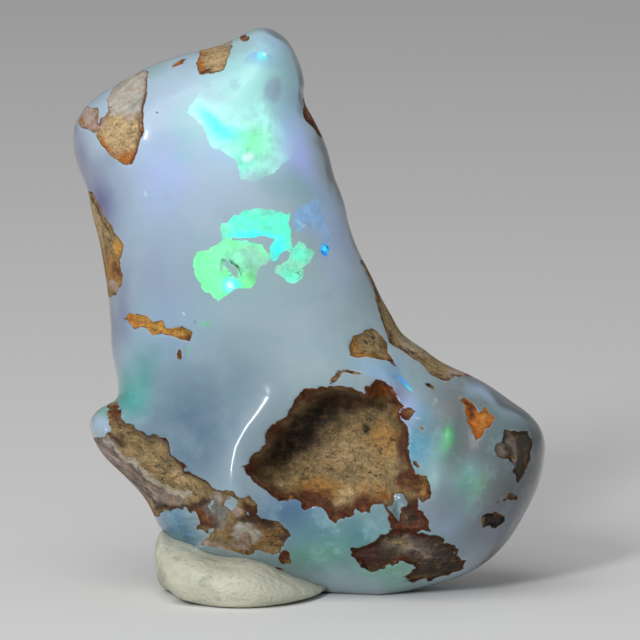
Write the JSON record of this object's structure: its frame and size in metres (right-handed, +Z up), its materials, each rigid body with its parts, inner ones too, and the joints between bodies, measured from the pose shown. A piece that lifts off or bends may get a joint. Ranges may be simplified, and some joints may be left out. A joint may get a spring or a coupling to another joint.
{
  "type": "tumbled opal nugget",
  "caption": "Tumbled milky opal nugget with play-of-colour and brown host rock, standing upright in a squashed lump of white mounting putty.",
  "frame": {"origin": "middle of the object's bounding box, on the surface that the foot and the putty stand on", "axes": "+Z up, the polished front with the big pit faces -Y, the foot points along +X"},
  "size_m": [0.0236, 0.0119, 0.0284],
  "materials": {
    "opal_in_matrix": "polished milky opal with rough brown host rock",
    "white_putty": "matt off-white putty"
  },
  "bodies": {
    "root": {"opal": "opal_in_matrix", "mounting_putty": "white_putty"}
  },
  "joints": []
}
